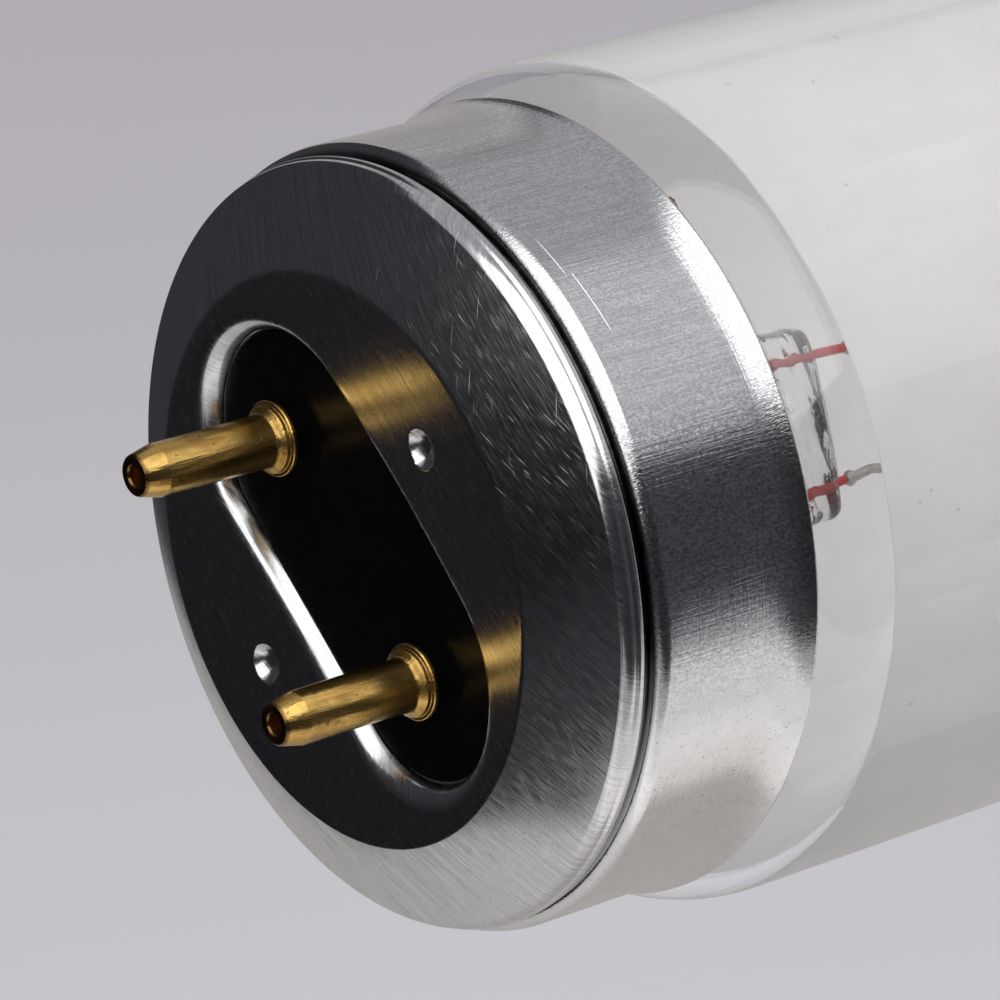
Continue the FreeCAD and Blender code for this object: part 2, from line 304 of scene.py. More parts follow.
def lofted(stops, sides=120, steps=5):
    """Rows along the stem, turned with the press, from (depth, half width, half thickness, squareness)."""
    angles = np.arange(sides) * (math.tau / sides)
    fine = np.arange((len(stops) - 1) * steps + 1) / steps
    columns = [np.interp(fine, np.arange(len(stops)), column) for column in zip(*stops)]
    rows = []
    for depth, wide, thick, square in zip(*columns):
        power = 1 - square
        across = wide * np.sign(np.cos(angles)) * np.abs(np.cos(angles)) ** power
        up = thick * np.sign(np.sin(angles)) * np.abs(np.sin(angles)) ** power
        if wide > 4 and depth > 16:
            pinched = square / 0.45
            folds = 0.16 * math.exp(-((depth - 21.0) / 1.7) ** 2) * np.cos(5 * angles + 0.5)
            dents = 0.05 * pinched * np.sin(4.5 * depth + 1.7 * across)
            up *= 1 + folds + dents - 0.22 * pinched * (1 - (across / wide) ** 2)
        rows.append(np.stack([np.full(sides, depth),
                              across * math.cos(press_turn) - up * math.sin(press_turn),
                              across * math.sin(press_turn) + up * math.cos(press_turn)], axis=-1))
    return np.array(rows)


stem_stops = [(27.5, 3.6, 0.9, 0.45), (27.46, 4.15, 1.25, 0.45), (27.3, 4.4, 1.48, 0.45),
              (26.9, 4.5, 1.6, 0.45), (25.8, 4.46, 1.52, 0.45), (24.8, 4.5, 1.6, 0.45),
              (23.8, 4.47, 1.55, 0.45), (23.1, 4.5, 1.64, 0.43), (22.4, 4.46, 1.86, 0.36),
              (21.6, 4.4, 2.2, 0.28), (20.6, 4.36, 2.65, 0.2), (19.6, 4.33, 3.15, 0.12),
              (18.6, 4.3, 3.7, 0.05), (17.8, 4.3, 4.1, 0.02), (17.0, 4.3, 4.28, 0.0), (15.5, 4.3, 4.3, 0.0),
              (9.0, 4.3, 4.3, 0.0), (7.85, 4.42, 4.42, 0.0), (6.85, 4.85, 4.85, 0.0), (6.05, 5.5, 5.5, 0.0),
              (5.45, 6.4, 6.4, 0.0), (5.05, 7.8, 7.8, 0.0), (4.89, 10.0, 10.0, 0.0), (4.83, 16.8, 16.8, 0.0),
              (4.45, 16.94, 16.94, 0.0), (4.07, 16.8, 16.8, 0.0), (4.07, 10.0, 10.0, 0.0),
              (4.25, 7.4, 7.4, 0.0), (4.75, 5.8, 5.8, 0.0), (5.65, 4.6, 4.6, 0.0), (6.85, 3.75, 3.75, 0.0),
              (8.2, 3.5, 3.5, 0.0), (16.6, 3.5, 3.5, 0.0), (18.1, 3.46, 3.1, 0.05), (19.6, 3.3, 2.0, 0.15),
              (20.6, 3.05, 1.2, 0.2), (21.0, 2.6, 0.8, 0.2), (21.1, 1.6, 0.4, 0.2)]
exhaust = np.vstack([blended([(3.87, 0.2, 0), (4.3, 1.0, 0.4), (5.45, 1.58, 1.0), (20.9, 1.58, 0)]),
                     blended([(20.9, 0.9, 0), (6.2, 0.9, 0.5), (5.3, 0.25, 0)])])
for end in ("a", "b"):
    stem = made("stem_" + end, [skinned(lofted(stem_stops), False), skinned(turned(exhaust, 48), False)],
                end, stem_glass, 60.0)
    fitted(stem, "stem_glass_" + end)


# Lead wires and coil: copper-clad wire goes through the pin and the stem, a thin red oxidised seal wire
# through the press, and a nickel wire on to the tungsten coil. They are welded end to end, and the coil's
# legs are clamped in the bent-over ends of the nickel wires.
drawn_wire = bpy.data.node_groups.new("drawn_wire", "GeometryNodeTree")
drawn_wire.interface.new_socket(name="Path", in_out="INPUT", socket_type="NodeSocketGeometry")
gauge_in = drawn_wire.interface.new_socket(name="Gauge", in_out="INPUT", socket_type="NodeSocketFloat")
sides_in = drawn_wire.interface.new_socket(name="Sides", in_out="INPUT", socket_type="NodeSocketInt")
metal_in = drawn_wire.interface.new_socket(name="Metal", in_out="INPUT", socket_type="NodeSocketMaterial")
drawn_wire.interface.new_socket(name="Wire", in_out="OUTPUT", socket_type="NodeSocketGeometry")
given = drawn_wire.nodes.new("NodeGroupInput")
result = drawn_wire.nodes.new("NodeGroupOutput")
half_gauge = put(drawn_wire, "ShaderNodeMath", {0: given.outputs["Gauge"], 1: 0.5}, operation="MULTIPLY")
route = put(drawn_wire, "GeometryNodeMeshToCurve", {"Mesh": given.outputs["Path"]})
section = put(drawn_wire, "GeometryNodeCurvePrimitiveCircle", {"Resolution": given.outputs["Sides"],
                                                               "Radius": half_gauge.outputs[0]})
swept = put(drawn_wire, "GeometryNodeCurveToMesh", {"Curve": route.outputs[0],
                                                    "Profile Curve": section.outputs[0], "Fill Caps": True})
whole = put(drawn_wire, "GeometryNodeRealizeInstances", {"Geometry": swept.outputs[0]})
plated = put(drawn_wire, "GeometryNodeSetMaterial", {"Geometry": whole.outputs[0],
                                                     "Material": given.outputs["Metal"]})
drawn_wire.links.new(plated.outputs[0], result.inputs["Wire"])


def smoothed(stops, steps=14):
    """A smooth path through points, with each point passed on the way."""
    points = [2 * stops[0] - stops[1]] + list(stops) + [2 * stops[-1] - stops[-2]]
    path = []
    for p0, p1, p2, p3 in zip(points, points[1:], points[2:], points[3:]):
        for number in range(steps):
            t = number / steps
            path.append(0.5 * (2 * p1 + (p2 - p0) * t + (2 * p0 - 5 * p1 + 4 * p2 - p3) * t * t
                               + (3 * p1 - p0 - 3 * p2 + p3) * t ** 3))
    path.append(points[-2])
    return np.array(path)


def wired(path, gauge, sides, metal):
    """Points and faces, in millimetres, of a wire drawn along a path."""
    mesh = bpy.data.meshes.new("wire_path")
    mesh.from_pydata(path.tolist(), [(k, k + 1) for k in range(len(path) - 1)], [])
    holder = bpy.data.objects.new("wire_path", mesh)
    bpy.context.scene.collection.objects.link(holder)
    drawing = holder.modifiers.new("drawn_wire", "NODES")
    drawing.node_group = drawn_wire
    drawing[gauge_in.identifier] = gauge
    drawing[sides_in.identifier] = sides
    drawing[metal_in.identifier] = metal
    shaped = bpy.data.meshes.new_from_object(holder.evaluated_get(bpy.context.evaluated_depsgraph_get()))
    points = np.array([vertex.co for vertex in shaped.vertices])
    faces = [tuple(polygon.vertices) for polygon in shaped.polygons]
    bpy.data.objects.remove(holder)
    return points, faces


copper, tree, shader = surfaced("copper_lead", Metallic=0.85)
aged = marked(tree, (0.5, 2.0, 2.0), 0.35, 0.7, 4.0)
tree.links.new(blend_colours(tree, aged, (0.50, 0.28, 0.15, 1), (0.22, 0.12, 0.07, 1)),
               shader.inputs["Base Color"])
tree.links.new(between(tree, aged, 0.3, 0.55), shader.inputs["Roughness"])
worked(tree, shader, (marked(tree, (0.6, 9.0, 9.0)), 0.006))

sealing_red, tree, shader = surfaced("sealing_wire", Metallic=0.35)
oxide = marked(tree, (1.5, 3.0, 3.0), 0.35, 0.7, 3.0)
tree.links.new(blend_colours(tree, oxide, (0.44, 0.035, 0.035, 1), (0.26, 0.02, 0.02, 1)),
               shader.inputs["Base Color"])
tree.links.new(between(tree, oxide, 0.28, 0.5), shader.inputs["Roughness"])
worked(tree, shader, (oxide, 0.01))

nickel, tree, shader = surfaced("nickel_wire", Metallic=1.0)
dulled = marked(tree, (1.0, 3.0, 3.0), 0.35, 0.75, 3.0)
tree.links.new(blend_colours(tree, dulled, (0.55, 0.53, 0.50, 1), (0.34, 0.32, 0.30, 1)),
               shader.inputs["Base Color"])
tree.links.new(between(tree, dulled, 0.22, 0.45), shader.inputs["Roughness"])
worked(tree, shader, (marked(tree, (0.5, 8.0, 8.0)), 0.006))

tungsten, tree, shader = surfaced("tungsten_coil", Metallic=1.0)
emitter = marked(tree, (2.0, 2.0, 2.0), 0.4, 0.6, 3.0)
tree.links.new(blend_colours(tree, emitter, (0.32, 0.31, 0.30, 1), (0.62, 0.61, 0.58, 1)),
               shader.inputs["Base Color"])
tree.links.new(between(tree, emitter, 0.35, 0.7), shader.inputs["Roughness"])
worked(tree, shader, (emitter, 0.02))

pin_reach = 6.35
lead_reach = 3.03
coil_depth = 41.0
coil_reach = 5.0


def beside_axis(depth, angle, reach):
    """A point at a depth, turned about the tube's axis from the line through the pins."""
    return np.array([depth, reach * math.cos(angle), reach * math.sin(angle)])


def bead(path, centre, sides=20):
    """A small turned lump on a wire, from a (depth, radius) path."""
    rows = turned(np.array(path), sides)
    rows[:, :, 1] += centre[1]
    rows[:, :, 2] += centre[2]
    return skinned(rows, False)


coil_spread = 6.4
coil_turns = 7
coil_radius = 0.42
along = beside_axis(0, press_turn, 1)
above = beside_axis(0, press_turn + math.pi / 2, 1)
turns = np.arange(28 * coil_turns + 1) * (math.tau / 28)
winding = [np.array([coil_depth + coil_radius * (1 - math.cos(turn)), 0, 0])
           + above * coil_radius * math.sin(turn) + along * coil_spread * (turn / turns[-1] - 0.5)
           for turn in turns]
legs = [[beside_axis(coil_depth, press_turn, side * reach) for reach in (5.6, 4.6, 3.6)] for side in (-1, 1)]
coil_path = np.array(legs[0] + winding + legs[1][::-1])

for end in ("a", "b"):
    made_coil = made("coil_" + end, [wired(coil_path, 0.26, 8, tungsten)], end, tungsten, 60.0)
    fitted(made_coil, "cathode_coil_" + end)
    for number, side, weld_depth in ((1, -1, 28.8), (2, 1, 31.0)):
        tail = end + str(number)
        outer_path = smoothed([beside_axis(-5.9, 0, side * pin_reach), beside_axis(-2.0, 0, side * pin_reach),
                               beside_axis(3.3, 0, side * pin_reach),
                               beside_axis(5.6, press_turn / 2, side * (pin_reach + lead_reach) / 2),
                               beside_axis(8.6, press_turn, side * lead_reach),
                               beside_axis(14.0, press_turn, side * lead_reach),
                               beside_axis(20.6, press_turn, side * lead_reach)])
        solder = bead([(-6.1, 0.12), (-6.08, 0.28), (-6.03, 0.38), (-5.9, 0.42), (-5.7, 0.36)],
                      beside_axis(0, 0, side * pin_reach))
        outer = made("outer_wire_" + tail, [wired(outer_path, 0.70, 18, copper), solder], end, copper, 60.0)
        fitted(outer, "outer_lead_" + tail)
        seal_path = np.array([beside_axis(depth, press_turn, side * lead_reach)
                              for depth in np.linspace(20.6, weld_depth, 12)])
        seal = made("seal_wire_" + tail, [wired(seal_path, 0.44, 16, sealing_red)], end, sealing_red, 60.0)
        fitted(seal, "seal_lead_" + tail)
        weld_point = beside_axis(weld_depth, press_turn, side * lead_reach)
        weld = bead([(weld_depth, 0.12), (weld_depth + 0.06, 0.24), (weld_depth + 0.18, 0.35),
                     (weld_depth + 0.38, 0.4), (weld_depth + 0.58, 0.37), (weld_depth + 0.75, 0.31),
                     (weld_depth + 0.85, 0.26)], weld_point)
        inner_path = smoothed([beside_axis(weld_depth + 0.6, press_turn, side * lead_reach),
                               beside_axis(weld_depth + 3.0, press_turn, side * lead_reach),
                               beside_axis((weld_depth + coil_depth) / 2, press_turn, side * 4.0),
                               beside_axis(coil_depth - 3.0, press_turn, side * coil_reach),
                               beside_axis(coil_depth - 0.36, press_turn, side * coil_reach)])
        hook = [beside_axis(coil_depth - 0.4 + 0.42 * math.sin(turn), press_turn, side * coil_reach)
                + above * (0.42 * (1 - math.cos(turn)) - 0.42) for turn in np.linspace(0, math.pi, 14)]
        inner_wire = wired(inner_path, 0.5, 18, nickel)
        clamp = wired(np.array([hook[0] - np.array([1.6, 0, 0])] + hook + [hook[-1] - np.array([0.5, 0, 0])]),
                      0.42, 12, nickel)
        inner = made("inner_wire_" + tail, [inner_wire, weld, clamp], end, nickel, 60.0)
        fitted(inner, "inner_lead_" + tail)


# Insulator: a black moulded phenolic plate behind the cap, with a boss that fills the oblong hole
# and a raised seat for each pin. It is pressed in a polished mould, so it shines, and dust sits on it.
phenolic, tree, shader = surfaced("black_phenolic", IOR=1.5, Specular_IOR_Level=0.12)
dust = marked(tree, (3.4, 3.4, 3.4), 0.77, 0.82, 2.0)
haze = marked(tree, (0.5, 0.7, 0.7), 0.3, 0.7, 4.0)
tree.links.new(blend_colours(tree, dust, (0.0016, 0.0016, 0.0018, 1), (0.2, 0.18, 0.16, 1)),
               shader.inputs["Base Color"])
tree.links.new(between(tree, haze, 0.2, 0.34), shader.inputs["Roughness"])
worked(tree, shader, (marked(tree, (0.5, 0.5, 0.5), 0.2, 0.8, 2.0), 0.004), (dust, 0.006))
for end in ("a", "b"):
    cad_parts["insulator_" + end].data.materials.clear()
    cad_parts["insulator_" + end].data.materials.append(phenolic)


# Contact pins: hollow brass, turned with a taper at the tip and a collar that sits on the insulator.
# The lead wire ends inside the tip, where it is soldered. The brass is tarnished and rubbed by holders.
brass, tree, shader = surfaced("worn_brass", Metallic=1.0)


def located(tree):
    """The place on the lamp."""
    return put(tree, "ShaderNodeTexCoord").outputs["Object"]


def axes_of(tree):
    """The place on the lamp, along each axis."""
    return put(tree, "ShaderNodeSeparateXYZ", {0: located(tree)}).outputs


def unsigned(tree, value):
    """A value without its sign, so that both ends are alike."""
    return put(tree, "ShaderNodeMath", {0: value}, operation="ABSOLUTE").outputs[0]


def rising(tree, value, none, full, least=0.0):
    """A mask that rises from its least to its full strength between two values."""
    return put(tree, "ShaderNodeMapRange", {"Value": value, "From Min": none, "From Max": full,
                                            "To Min": least}).outputs["Result"]


tarnish = marked(tree, (0.35, 1.1, 1.1), 0.42, 0.66, 5.0)
spots = marked(tree, (2.6, 3.6, 3.6), 0.60, 0.74, 4.0)
rubbed = marked(tree, (0.5, 6.0, 6.0), 0.35, 0.7, 2.0)
axes = axes_of(tree)
at_tip = rising(tree, unsigned(tree, axes["X"]), -face + 0.0068, -face + 0.00695)
gold = blend_colours(tree, tarnish, (0.66, 0.43, 0.125, 1), (0.35, 0.20, 0.056, 1))
gold = blend_colours(tree, at_tip, gold, (0.17, 0.095, 0.035, 1))
tree.links.new(blend_colours(tree, spots, gold, (0.11, 0.06, 0.022, 1)), shader.inputs["Base Color"])
tree.links.new(between(tree, tarnish, 0.2, 0.34), shader.inputs["Roughness"])
worked(tree, shader, (rubbed, 0.006), (marked(tree, (8.0, 0.5, 0.5)), 0.003), (spots, 0.008))

pin_length = 7.0
pin_radius = 1.172
pin_outline = [(2.8, 1.05, 0), (0.45, 1.05, 0), (0.45, 1.7, 0.08), (0.2, 1.7, 0.1), (0.16, 1.52, 0.04),
               (-0.04, 1.5, 0.1), (-0.24, 1.2, 0.25), (-1.2, pin_radius, 0), (-5.88, pin_radius, 0.5),
               (-6.92, 0.93, 0.1), (-pin_length, 0.86, 0.05), (-pin_length, 0.52, 0.05), (-6.9, 0.46, 0.04),
               (-4.9, 0.43, 0)]
pin_inside = [(-4.9, 0.43, 0), (-4.5, 0.36, 0), (3.2, 0.36, 0), (3.25, 0.6, 0.1), (2.8, 1.58, 0.1),
              (2.8, 1.05, 0)]
pin_path = np.vstack([blended(pin_outline, 12.0), blended(pin_inside, 12.0)[1:-1]])
for end in ("a", "b"):
    for number, side in ((1, -1), (2, 1)):
        pin = made("brass_pin_" + end + str(number), [skinned(turned(pin_path, 72, side * pin_reach), True)],
                   end, brass, 28.0)
        fitted(pin, "contact_pin_" + end + str(number))


# End cap: drawn from aluminium sheet, with a coned ring, a bead and a groove before the skirt, a shallow
# dish, a lipped oblong hole and two punched dimples that hold the insulator. The sheet was brushed along
# the line of the pins, the skirt was drawn along the tube, and use has left scratches and specks of dirt.
# Shade is painted into the groove behind the bead.
aluminium, tree, shader = surfaced("brushed_aluminium", Metallic=1.0)
axes = axes_of(tree)
from_middle = unsigned(tree, axes["X"])
on_skirt = rising(tree, from_middle, -face - 0.0022, -face - 0.0034)
on_face = put(tree, "ShaderNodeMath", {0: 1.0, 1: on_skirt}, operation="SUBTRACT").outputs[0]


def only_on(mask, area):
    """A mask kept to one area of the cap."""
    return put(tree, "ShaderNodeMath", {0: mask, 1: area}, operation="MULTIPLY").outputs[0]


face_lines = marked(tree, (0.0, 0.2, 12.0), 0.3, 0.7, 2.0)
face_scuffs = marked(tree, (0.0, 1.1, 16.0), 0.40, 0.70, 2.0)
face_nicks = marked(tree, (0.0, 0.6, 20.0), 0.68, 0.78, 1.0, 8.0)
stray_nicks = marked(tree, (0.0, 0.35, 16.0), 0.70, 0.78, 1.0, -35.0)
grain = marked(tree, (12.0, 12.0, 12.0), 0.25, 0.75, 2.0)
rubbed_skirt = only_on(on_skirt, rising(tree, axes["Z"], 0.0085, 0.013))
skirt_lines = only_on(marked(tree, (0.3, 9.0, 9.0), 0.4, 0.66, 2.0), rubbed_skirt)
skirt_scuffs = marked(tree, (7.0, 15.0, 15.0), 0.44, 0.66, 2.0)
skirt_rings = marked(tree, (10.0, 0.25, 0.25), 0.25, 0.75, 1.0)
mottle = marked(tree, (1.4, 1.8, 1.8), 0.3, 0.75, 4.0)
waves = marked(tree, (0.16, 0.16, 0.16), 0.2, 0.8, 1.0)
grime = marked(tree, (5.5, 5.5, 5.5), 0.62, 0.74, 2.0)
tone = blend_colours(tree, mottle, (0.84, 0.845, 0.85, 1), (0.75, 0.755, 0.76, 1))
tone = blend_colours(tree, only_on(face_lines, on_face), tone, (0.50, 0.505, 0.52, 1))
tone = blend_colours(tree, skirt_lines, tone, (0.60, 0.615, 0.625, 1))
tone = blend_colours(tree, only_on(skirt_scuffs, rubbed_skirt), tone, (0.46, 0.47, 0.48, 1))
handled = rising(tree, axes["Y"], -0.003, -0.007)
fingered = only_on(marked(tree, (5.0, 8.0, 8.0), 0.42, 0.62, 3.0), only_on(rubbed_skirt, handled))
tone = blend_colours(tree, fingered, tone, (0.34, 0.35, 0.36, 1))
outwards = put(tree, "ShaderNodeVectorMath", {0: located(tree), 1: (0.0, 1.0, 1.0)}, operation="MULTIPLY")
reach = put(tree, "ShaderNodeVectorMath", {0: outwards.outputs[0]}, operation="LENGTH").outputs["Value"]
on_ring = rising(tree, reach, 0.0125, 0.0128)
# Painted shade: the groove behind the bead is coloured near black, most strongly along the top of the cap.
in_groove = rising(tree, reach, 0.01722, 0.01702)
behind_bead = rising(tree, from_middle, -face - 0.0029, -face - 0.0031)
shade_towards_top = rising(tree, axes["Z"], 0.002, 0.012, 0.2)
groove_shade = only_on(only_on(in_groove, behind_bead), only_on(shade_towards_top, between(tree, mottle, 1.0, 0.8)))
tone = blend_colours(tree, grime, tone, (0.50, 0.49, 0.48, 1))
tone = blend_colours(tree, groove_shade, tone, (0.05, 0.05, 0.052, 1))
dish_gloss = between(tree, face_scuffs, 0.16, 0.28)
ring_gloss = between(tree, face_scuffs, 0.11, 0.23)
face_gloss = put(tree, "ShaderNodeMix", {0: on_ring, 2: dish_gloss, 3: ring_gloss}, data_type="FLOAT")
skirt_gloss = between(tree, skirt_scuffs, 0.11, 0.25)
gloss = put(tree, "ShaderNodeMix", {0: on_skirt, 2: face_gloss.outputs[0], 3: skirt_gloss}, data_type="FLOAT")
tree.links.new(gloss.outputs[0], shader.inputs["Roughness"])
scratch = None
for depth, first, last in ((4.75, 4.4, 1.6), (5.05, 2.2, -1.4)):
    slanted = put(tree, "ShaderNodeMath", {0: axes["Y"], 1: 0.06, 2: axes["X"]}, operation="MULTIPLY_ADD")
    gap = put(tree, "ShaderNodeMath", {0: slanted.outputs[0], 1: face + 0.001 * depth}, operation="SUBTRACT")
    line = rising(tree, unsigned(tree, gap.outputs[0]), 0.00005, 0.00002)
    line = only_on(line, rising(tree, axes["Z"], 0.010, 0.012))
    line = only_on(line, rising(tree, axes["Y"], 0.001 * first, 0.001 * first - 0.0008))
    line = only_on(line, rising(tree, axes["Y"], 0.001 * last, 0.001 * last + 0.0008))
    scratch = line if scratch is None else put(tree, "ShaderNodeMath", {0: scratch, 1: line}).outputs[0]
tree.links.new(blend_colours(tree, scratch, tone, (0.97, 0.97, 0.97, 1)), shader.inputs["Base Color"])
worked(tree, shader, (waves, 0.02), (only_on(face_lines, on_face), 0.0012),
       (only_on(face_nicks, on_face), 0.0015), (only_on(stray_nicks, on_face), 0.0015), (skirt_lines, 0.0022),
       (only_on(skirt_rings, on_skirt), 0.0025), (only_on(grain, on_skirt), 0.002), (scratch, -0.01))

crest_radius = 12.65
dish_slope = math.tan(math.radians(3.8))
hole_reach = 10.95
hole_radius = 5.15
lip_roll = 1.0
lip_depth = 1.4
lip_overhang = 0.1
sheet = 0.3
cap_length = 11.65
skirt_radius = 17.45
flare_start = 8.3
rim_flare = 0.5
back_edge = 12.3
dimple_reach = 8.7
dimple_radius = 0.9
cap_sides = 360
cap_angles = np.arange(cap_sides) * (math.tau / cap_sides)
cap_angles += 0.3 * np.sin(2 * cap_angles)


def hole_edge(gap):
    """The radius, at each angle, of the oblong hole's outline moved outwards by a gap."""
    half = hole_radius + gap
    straight = hole_reach - hole_radius
    flat = half / np.maximum(np.abs(np.sin(cap_angles)), 1e-9)
    cosine = np.abs(np.cos(cap_angles))
    bow = straight * cosine + np.sqrt(np.maximum(half ** 2 - (straight * np.sin(cap_angles)) ** 2, 0))
    return np.where(flat * cosine <= straight, flat, bow)


def dished(radius):
    """The depth of the dish at a radius."""
    return (crest_radius - radius) * dish_slope


def cap_row(depth, radius):
    """One row of points round the cap."""
    return np.stack([depth * np.ones(cap_sides), radius * np.cos(cap_angles),
                     radius * np.sin(cap_angles)], axis=-1)


lip_rows = [cap_row(lip_depth, hole_edge(-lip_overhang)),
            cap_row(dished(hole_edge(0)) + lip_roll + 0.04, hole_edge(-lip_overhang))]
for lean in np.linspace(0, math.pi / 2 * 0.96, 11):
    gap = lip_roll * (1 - math.cos(lean))
    drop = lip_roll * (1 - math.sin(lean))
    lip_rows.append(cap_row(dished(hole_edge(gap)) + drop, hole_edge(gap)))
dish_start = hole_edge(lip_roll)
dish_end = crest_radius - 0.2
dish_shares = np.interp(np.linspace(0, 1, 60), [0, 0.18, 0.78, 1], [0, 0.25, 0.6, 1])
dish_radii = [dish_start + (dish_end - dish_start) * share for share in dish_shares]
dish_rows = [cap_row(dished(radius), radius) for radius in dish_radii]
ring_run = [(dished(dish_end), dish_end, 0), (0, crest_radius, 0.5), (2.1, 16.92, 0.65), (2.52, 16.94, 0.03),
            (2.66, 17.04, 0.2), (2.92, 17.03, 0.2), (3.3, 16.55, 0.06), (3.38, skirt_radius, 0.7),
            (4.8, skirt_radius, 0)]
flare_length = cap_length - flare_start
bowed = [(depth, skirt_radius + rim_flare * max(0.0, (depth - flare_start) / flare_length) ** 3.4)
         for depth in np.linspace(5.0, 11.5, 40)]
rim = blended([bowed[-1] + (0,), (cap_length, skirt_radius + rim_flare, 0.12), (cap_length, 17.63, 0.12),
               (11.3, 17.58, 0)], 15.0)
lining = [(9.6, 17.2), (8.4, skirt_radius - sheet), (3.75, skirt_radius - sheet), (3.7, 16.4), (3.62, 16.2),
          (3.2, 16.2), (2.65, 16.6), (2.4, 16.65), (2.2, 16.5), (0.36, 12.5)]
turned_path = np.vstack([blended(ring_run, 5.0)[1:], np.array(bowed[:-1]), rim, np.array(lining)])
outer_rows = [cap_row(depth, radius) for depth, radius in turned_path]
back_start = hole_edge(sheet + 0.3)
back_radii = [back_edge + (back_start - back_edge) * share for share in np.linspace(0, 1, 24)]
back_rows = [cap_row(dished(radius) + sheet, radius) for radius in back_radii]
back_rows += [cap_row(dished(hole_edge(sheet)) + sheet + 0.3, hole_edge(sheet)),
              cap_row(lip_depth, hole_edge(sheet))]
cap_rows = np.array(lip_rows + dish_rows + outer_rows + back_rows)
for side in (-1, 1):
    beyond = cap_rows[:, :, 2] - side * dimple_reach
    away = np.hypot(cap_rows[:, :, 1], beyond)
    share = np.clip(1 - (away / dimple_radius) ** 2, 0, 1)
    bearing = np.arctan2(beyond, cap_rows[:, :, 1])
    punched = share * (0.5 + 0.07 * (away / dimple_radius) * np.cos(3 * bearing + 0.8))
    near_dish = cap_rows[:, :, 0] < 1.2
    cap_rows[:, :, 0] += np.where(near_dish, punched, 0)
cap_rows[:, :, 0] = np.maximum(cap_rows[:, :, 0], 0)
for end in ("a", "b"):
    cap = made("cap_" + end, [skinned(cap_rows, True)], end, aluminium, 40.0)
    fitted(cap, "end_cap_" + end)


# Capping cement: a brown resin paste, spread inside the skirt and baked hard on the neck of the tube.
# It holds the cap to the glass, and a crumb of it was pressed out at the rim.
capping, tree, shader = surfaced("capping_cement", Roughness=0.7)
crumbly = marked(tree, (2.0, 2.0, 2.0), 0.3, 0.7, 5.0)
tree.links.new(blend_colours(tree, crumbly, (0.30, 0.17, 0.075, 1), (0.16, 0.085, 0.04, 1)),
               shader.inputs["Base Color"])
tree.links.new(between(tree, crumbly, 0.55, 0.85), shader.inputs["Roughness"])
worked(tree, shader, (crumbly, 0.08))
for end in ("a", "b"):
    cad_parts["capping_cement_" + end].data.materials.clear()
    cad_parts["capping_cement_" + end].data.materials.append(capping)

lump = bmesh.new()
bmesh.ops.create_icosphere(lump, subdivisions=4, radius=1.0)
crumb_turn = math.radians(77)
for vertex in lump.verts:
    push = 1 + 0.35 * noise.fractal(vertex.co * 1.4, 0.7, 2.2, 4)
    local = vertex.co * push
    spot = beside_axis(11.72 + 0.16 * local.x, crumb_turn, 17.66 + 0.16 * local.z)
    spot += beside_axis(0, crumb_turn + math.pi / 2, 0.3 * local.y)
    vertex.co = Vector(spot.tolist()) * 0.001 + Vector((face, 0, 0))
crumb_mesh = bpy.data.meshes.new("cement_crumb")
lump.normal_update()
bmesh.ops.recalc_face_normals(lump, faces=lump.faces)
lump.to_mesh(crumb_mesh)
lump.free()
crumb_mesh.shade_smooth()
crumb_mesh.materials.append(capping)
crumb = bpy.data.objects.new("cement_crumb", crumb_mesh)
bpy.context.scene.collection.objects.link(crumb)
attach(crumb, "root")


# Studio: a pale floor well below the lamp, an even pale surround, a long softbox overhead, a small fill
# lamp and a low bounce lamp. Two dark cards and a warm one show only in reflections, and the camera stands
# close above the cap.
floor_level = -0.30
floor_mesh = bpy.data.meshes.new("floor")
floor_mesh.from_pydata([(x, y, floor_level) for x, y in ((-9, -9), (9, -9), (9, 9), (-9, 9))],
                       [], [(0, 1, 2, 3)])
floor = bpy.data.objects.new("floor", floor_mesh)
bpy.context.scene.collection.objects.link(floor)
paper, tree, shader = surfaced("floor_paper", Roughness=0.9, Specular_IOR_Level=0.1)
# Painted shade: the paper's colour goes darker towards +Y, away from the camera, as if the light fell off
# there.
painted_falloff = put(tree, "ShaderNodeMapRange", {"Value": axes_of(tree)["Y"], "From Min": 0.02, "From Max": 0.24},
           interpolation_type="SMOOTHSTEP")
tree.links.new(blend_colours(tree, painted_falloff.outputs["Result"], (0.73, 0.73, 0.76, 1), (0.525, 0.50, 0.53, 1)),
               shader.inputs["Base Color"])
floor_mesh.materials.append(paper)

aim = Vector((face, 0, 0))
black_card, tree, shader = surfaced("black_card", Roughness=0.9, Specular_IOR_Level=0.0)
paler = rising(tree, unsigned(tree, axes_of(tree)["Y"]), 0.06, 0.14)
tree.links.new(blend_colours(tree, paler, (0.017, 0.016, 0.019, 1), (0.058, 0.057, 0.064, 1)),
               shader.inputs["Base Color"])
grey_card, tree, shader = surfaced("grey_card", Roughness=0.9, Specular_IOR_Level=0.0)
paler = rising(tree, axes_of(tree)["X"], face, face + 0.25)
tree.links.new(blend_colours(tree, paler, (0.055, 0.054, 0.06, 1), (0.13, 0.13, 0.14, 1)),
               shader.inputs["Base Color"])
warm_card, tree, shader = surfaced("warm_card", Roughness=0.9, Specular_IOR_Level=0.0)
apart = put(tree, "ShaderNodeVectorMath", {0: located(tree), 1: (face + 0.6, 0.0, -0.29)},
            operation="DISTANCE")
paler = rising(tree, apart.outputs["Value"], 0.5, 1.1)
tree.links.new(blend_colours(tree, paler, (0.50, 0.48, 0.46, 1), (0.90, 0.88, 0.86, 1)),
               shader.inputs["Base Color"])


def card(name, facing, distance, sights, cover):
    """A flat card whose corners are seen from the cap in the given directions."""
    square = Vector(facing).normalized()
    corners = [aim + Vector(sight) * (distance / Vector(sight).dot(square)) for sight in sights]
    mesh = bpy.data.meshes.new(name)
    mesh.from_pydata([tuple(corner) for corner in corners], [], [tuple(range(len(corners)))])
    mesh.materials.append(cover)
    made_card = bpy.data.objects.new(name, mesh)
    bpy.context.scene.collection.objects.link(made_card)
    made_card.visible_camera = False
    made_card.visible_diffuse = False
    made_card.visible_shadow = False
    made_card.visible_transmission = False
    return made_card


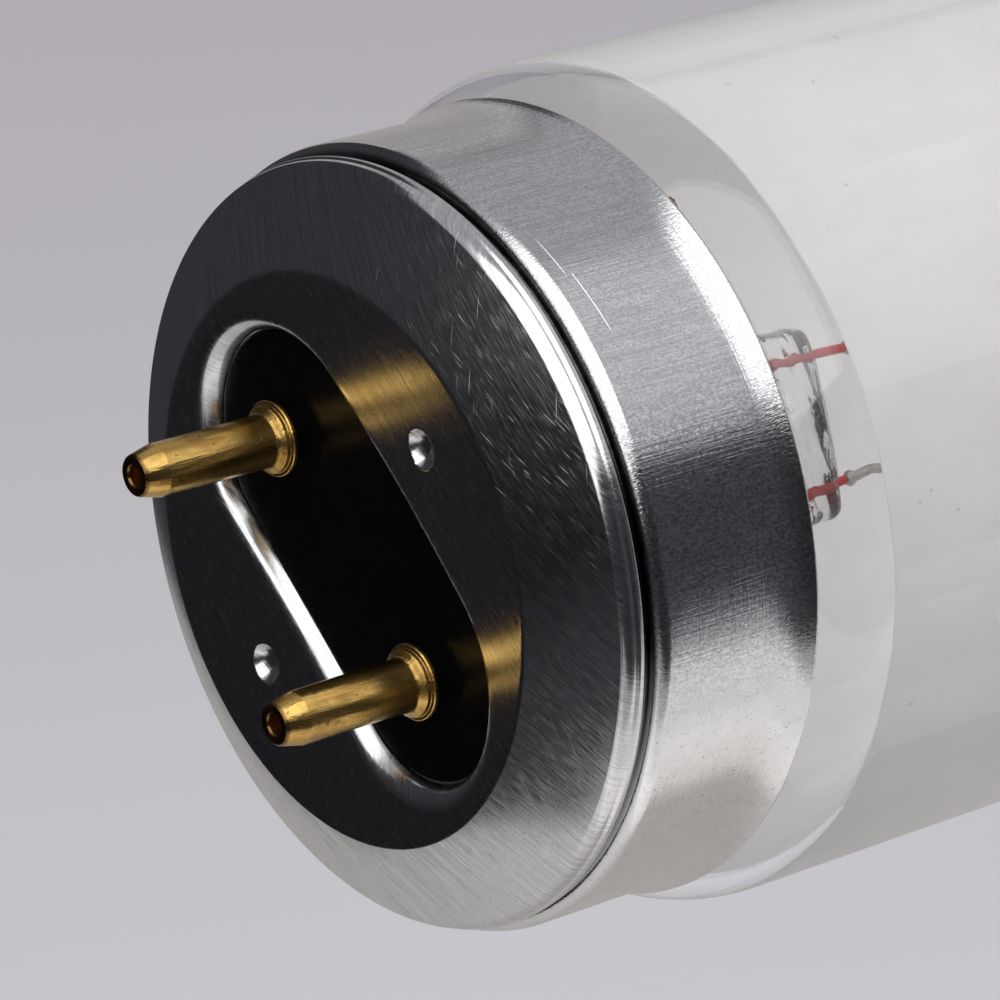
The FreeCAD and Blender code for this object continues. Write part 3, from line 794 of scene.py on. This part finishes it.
low_card = card("low_card", (-0.535, 0.654, -0.535), 0.18,
                [(0.42, 0.38, -0.82), (-0.70, -0.41, -0.58), (-0.89, -0.42, -0.07), (-0.95, -0.25, 0.2),
                 (-0.88, 0.44, 0.18), (-0.6, 0.78, 0.16), (-0.1, 0.95, 0.28), (0.25, 0.955, 0.12)],
                black_card)
high_card = card("high_card", (-0.1, -0.75, 0.66), 0.5,
                 [(-0.97, -0.14, 0.1), (-0.6, -0.28, 0.75), (-0.1, -0.33, 0.94), (0.4, -0.33, 0.855),
                  (0.75, -0.2, 0.63), (0.72, -0.61, 0.335), (0.5, -0.82, 0.26), (0.2, -0.965, 0.08),
                  (-0.4, -0.91, -0.04), (-0.85, -0.5, -0.04)], grey_card)
under_card = card("under_card", (0.0, 0.0, -1.0), 0.29,
                  [(-0.9, -1.2, -0.29), (2.0, -1.2, -0.29), (2.0, 2.6, -0.29), (-0.9, 2.6, -0.29)], warm_card)


def panel(name, wide, high, energy, stand):
    """A soft lamp that the camera doesn't see."""
    data = bpy.data.lights.new(name, "AREA")
    data.shape = "RECTANGLE"
    data.size = wide
    data.size_y = high
    data.energy = energy
    lamp = bpy.data.objects.new(name, data)
    bpy.context.scene.collection.objects.link(lamp)
    lamp.matrix_world = stand
    lamp.visible_camera = False
    return lamp


soft_angle = math.radians(27)
soft_lean = math.radians(13.5)
towards = Vector((-math.cos(soft_lean) * math.sin(soft_angle), math.sin(soft_lean),
                  math.cos(soft_lean) * math.cos(soft_angle)))
lengthwise = Vector((math.cos(soft_angle), 0, math.sin(soft_angle)))
turn = Matrix((lengthwise, towards.cross(lengthwise), towards)).transposed()
softbox = panel("softbox", 1.81, 0.98, 7.7, Matrix.Translation(aim + towards * 0.8) @ turn.to_4x4())
fill = panel("fill", 0.42, 0.7, 0.23,
             Matrix.Translation(aim + Vector((0.52, 0.12, 0.6))) @ Matrix.Rotation(math.radians(41), 4, "Y"))
bounce = panel("bounce", 1.25, 0.38, 0.62,
               Matrix.Translation((face, -0.45, -0.09)) @ Matrix.Rotation(math.radians(90), 4, "X"))
bounce.data.color = (1.0, 0.955, 0.92)

world = bpy.data.worlds.new("surround")
bpy.context.scene.world = world
world.use_nodes = True
world.node_tree.nodes["Background"].inputs["Color"].default_value = (0.97, 0.96, 1.0, 1)
world.node_tree.nodes["Background"].inputs["Strength"].default_value = 0.445

camera_data = bpy.data.cameras.new("camera")
camera_data.sensor_width = 36.0
camera_data.lens = 206.68
camera_data.clip_start = 0.01
camera = bpy.data.objects.new("camera", camera_data)
bpy.context.scene.collection.objects.link(camera)
rightwards = Vector((0.7819, -0.4782, 0.3999)).normalized()
forwards = Vector((0.5808, 0.3259, -0.7459)).normalized()
upwards = rightwards.cross(forwards)
camera.matrix_world = (Matrix.Translation((-0.43109, -0.08103, 0.18684))
                       @ Matrix((rightwards, upwards, -forwards)).transposed().to_4x4())
bpy.context.scene.camera = camera
bpy.context.scene.view_settings.view_transform = "Standard"
